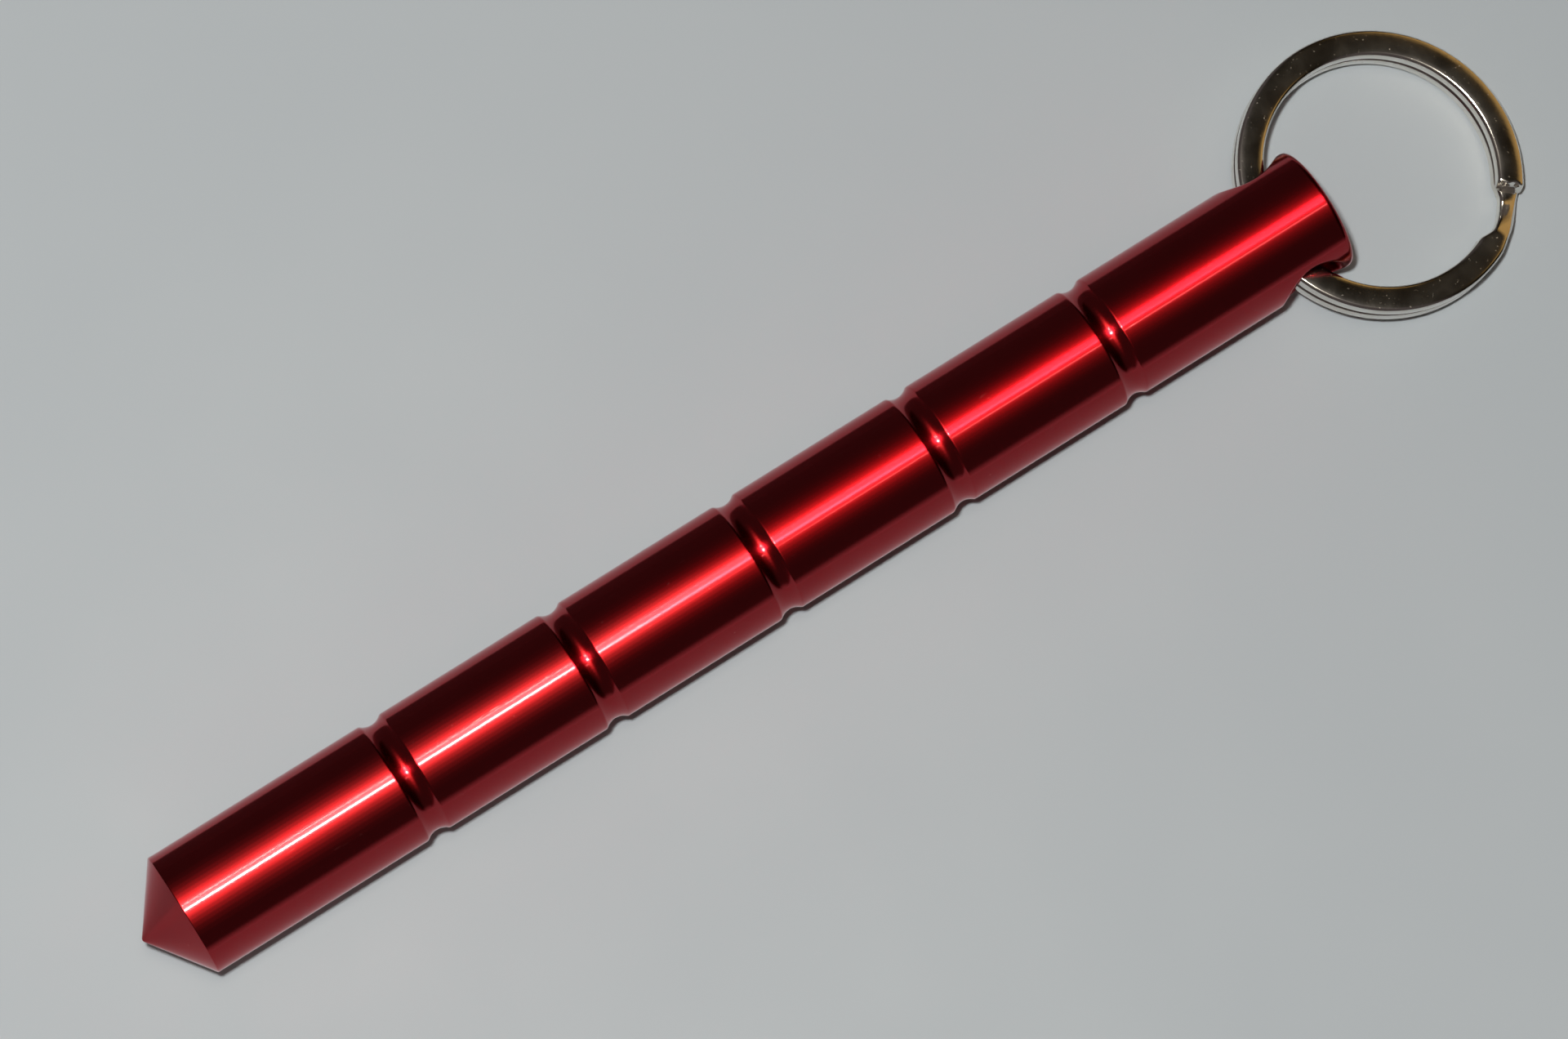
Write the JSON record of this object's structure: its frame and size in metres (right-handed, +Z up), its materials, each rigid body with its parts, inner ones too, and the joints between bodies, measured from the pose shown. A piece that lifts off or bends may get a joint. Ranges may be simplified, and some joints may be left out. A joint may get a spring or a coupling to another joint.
{
  "type": "key ring pocket stick",
  "caption": "Turned aluminium pocket stick with a pointed tip and shallow grip grooves, carried on a split key ring through a cross hole at its flat end.",
  "frame": {"origin": "centre of the flat end face, on the stick's axis", "axes": "+X out of the flat end face, the tip points along -X; Y runs along the cross hole; +Z up with the stick and the ring lying on a table at z = -0.0067"},
  "size_m": [0.164, 0.0302, 0.0134],
  "materials": {
    "red_anodised": "glossy red anodising over fine turning lines",
    "nickel_plate": "bright nickel plating on steel wire"
  },
  "bodies": {
    "stick": {"stick_body": "red_anodised"},
    "ring": {"split_ring": "nickel_plate"}
  },
  "joints": [
    {"name": "ring_swing", "type": "hinge", "parent": "stick", "child": "ring", "pos_m": [-0.00475, 0, 0], "axis": [0, -1, 0], "range_deg": [-146, 169]}
  ]
}
